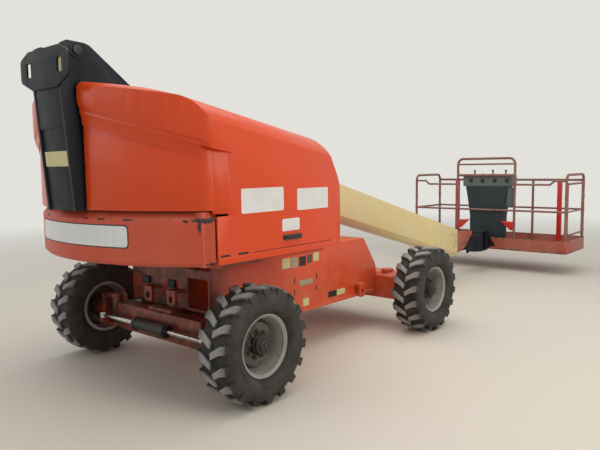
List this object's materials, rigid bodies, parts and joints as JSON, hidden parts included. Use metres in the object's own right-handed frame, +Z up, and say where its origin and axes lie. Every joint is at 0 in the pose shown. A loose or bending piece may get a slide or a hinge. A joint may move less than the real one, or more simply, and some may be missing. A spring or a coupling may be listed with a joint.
{
  "type": "telescopic boom lift",
  "caption": "Rough-terrain boom lift: steerable wheeled chassis, slewing turntable under opening hoods, telescopic boom raised by a cylinder, and a railed, levelled work platform.",
  "frame": {"origin": "centre of the bounding box's base, on the ground under the middle of the overall length", "axes": "+X along the boom towards the platform, +Y to the machine's left, +Z up"},
  "size_m": [8.035, 2.5, 2.495],
  "materials": {
    "black_paint": "satin, scuffed",
    "chrome": "polished",
    "cream_paint": "satin, slightly dirty",
    "dark_iron": "painted dark, dusty",
    "dark_plastic": "matt",
    "faded_paint": "chalky, sun-faded and chipped",
    "grey_plastic": "matt",
    "orange_paint": "satin, lightly weathered",
    "rail_paint": "faded and dusty",
    "silver_paint": "semi-gloss, dusty",
    "tyre": "dusty on the lugs"
  },
  "bodies": {
    "chassis": {"chassis_frame": "orange_paint", "steer_axle": "dark_iron", "drive_axle": "dark_iron", "steering_cylinder_barrel": "dark_iron", "slewing_ring": "black_paint"},
    "steering_rod": {"steering_rod": "chrome"},
    "knuckle_left": {"knuckle_left": "dark_iron"},
    "knuckle_right": {"knuckle_right": "dark_iron"},
    "turntable": {"turntable_deck": "black_paint", "counterweight": "faded_paint", "mast_plate_left": "black_paint", "mast_plate_right": "black_paint", "mast_rear_panel": "black_paint", "engine": "dark_iron", "tank": "black_paint", "boom_pivot_pin": "dark_iron"},
    "hood_left": {"hood_left": "orange_paint", "hood_latch_left": "dark_plastic"},
    "hood_right": {"hood_right": "orange_paint", "hood_latch_right": "dark_plastic"},
    "boom": {"base_boom": "cream_paint"},
    "fly": {"fly_boom": "cream_paint", "fly_nose": "faded_paint"},
    "lift_barrel": {"lift_cylinder_barrel": "black_paint"},
    "lift_rod": {"lift_cylinder_rod": "chrome"},
    "platform_support": {"platform_support": "black_paint"},
    "platform": {"platform_mount": "black_paint", "platform_floor": "faded_paint", "platform_rail_left": "rail_paint", "platform_rail_right": "rail_paint", "platform_rail_boom_side": "rail_paint", "platform_rail_outer": "rail_paint", "control_console": "grey_plastic", "console_housing": "dark_plastic"},
    "gate": {"platform_gate": "rail_paint"},
    "wheel_steer_left": {"tyre_steer_left": "tyre", "rim_steer_left": "silver_paint", "hub_steer_left": "dark_iron"},
    "wheel_steer_right": {"tyre_steer_right": "tyre", "rim_steer_right": "silver_paint", "hub_steer_right": "dark_iron"},
    "wheel_drive_left": {"tyre_drive_left": "tyre", "rim_drive_left": "silver_paint", "hub_drive_left": "dark_iron"},
    "wheel_drive_right": {"tyre_drive_right": "tyre", "rim_drive_right": "silver_paint", "hub_drive_right": "dark_iron"}
  },
  "joints": [
    {"name": "steer_left", "type": "hinge", "parent": "chassis", "child": "knuckle_left", "pos_m": [-3.0525, 0.7, 0.42], "axis": [0, 0, 1], "range_deg": [-35, 35]},
    {"name": "steer_right", "type": "hinge", "parent": "chassis", "child": "knuckle_right", "pos_m": [-3.0525, -0.7, 0.42], "axis": [0, 0, 1], "range_deg": [-35, 35]},
    {"name": "steering_slide", "type": "slide", "parent": "chassis", "child": "steering_rod", "axis": [0, 1, 0], "range_m": [-0.1, 0.1]},
    {"name": "swing", "type": "hinge", "parent": "chassis", "child": "turntable", "pos_m": [-2.0305, 0, 0.9903], "axis": [0, 0, 1], "continuous": true},
    {"name": "boom_lift", "type": "hinge", "parent": "turntable", "child": "boom", "pos_m": [-3.8465, 0, 2.436], "axis": [0, -1, 0], "range_deg": [0, 85]},
    {"name": "telescope", "type": "slide", "parent": "boom", "child": "fly", "axis": [0.9668, 0, -0.2554], "range_m": [0, 4.3]},
    {"name": "platform_level", "type": "hinge", "parent": "fly", "child": "platform_support", "pos_m": [2.32879, 0, 0.63686], "axis": [0, 1, 0], "range_deg": [0, 85]},
    {"name": "platform_swing", "type": "hinge", "parent": "platform_support", "child": "platform", "pos_m": [2.7675, 0, 0.483], "axis": [0, 0, 1], "range_deg": [-90, 90]},
    {"name": "gate_swing", "type": "hinge", "parent": "platform", "child": "gate", "pos_m": [3.9455, -1.22, 0.945], "axis": [0, 0, -1], "range_deg": [0, 90]},
    {"name": "lift_cylinder_turn", "type": "hinge", "parent": "turntable", "child": "lift_barrel", "pos_m": [-3.5225, 0, 1.477], "axis": [0, -1, 0], "range_deg": [0, 79.7]},
    {"name": "lift_cylinder_slide", "type": "slide", "parent": "lift_barrel", "child": "lift_rod", "axis": [0.9879, 0, -0.1551], "range_m": [0, 1.351]},
    {"name": "hood_left_lift", "type": "hinge", "parent": "turntable", "child": "hood_left", "pos_m": [-3.23071, 0.23, 2.1358], "axis": [0.9839, 0, -0.1788], "range_deg": [0, 60]},
    {"name": "hood_right_lift", "type": "hinge", "parent": "turntable", "child": "hood_right", "pos_m": [-3.23071, -0.23, 2.1358], "axis": [-0.9839, 0, 0.1788], "range_deg": [0, 60]},
    {"name": "wheel_steer_left_spin", "type": "hinge", "parent": "knuckle_left", "child": "wheel_steer_left", "pos_m": [-3.0525, 0.995, 0.42], "axis": [0, 1, 0], "continuous": true},
    {"name": "wheel_steer_right_spin", "type": "hinge", "parent": "knuckle_right", "child": "wheel_steer_right", "pos_m": [-3.0525, -0.995, 0.42], "axis": [0, 1, 0], "continuous": true},
    {"name": "wheel_drive_left_spin", "type": "hinge", "parent": "chassis", "child": "wheel_drive_left", "pos_m": [-0.6125, 0.995, 0.42], "axis": [0, 1, 0], "continuous": true},
    {"name": "wheel_drive_right_spin", "type": "hinge", "parent": "chassis", "child": "wheel_drive_right", "pos_m": [-0.6125, -0.995, 0.42], "axis": [0, 1, 0], "continuous": true}
  ],
  "couplings": [
    {"joint": "steer_right", "follows": "steer_left", "ratio": 1},
    {"joint": "steering_slide", "follows": "steer_left", "m_per_rad": -0.1501},
    {"joint": "lift_cylinder_turn", "follows": "boom_lift", "ratio": 0.9257},
    {"joint": "lift_cylinder_slide", "follows": "boom_lift", "m_per_rad": 0.904},
    {"joint": "platform_level", "follows": "boom_lift", "ratio": 1}
  ]
}
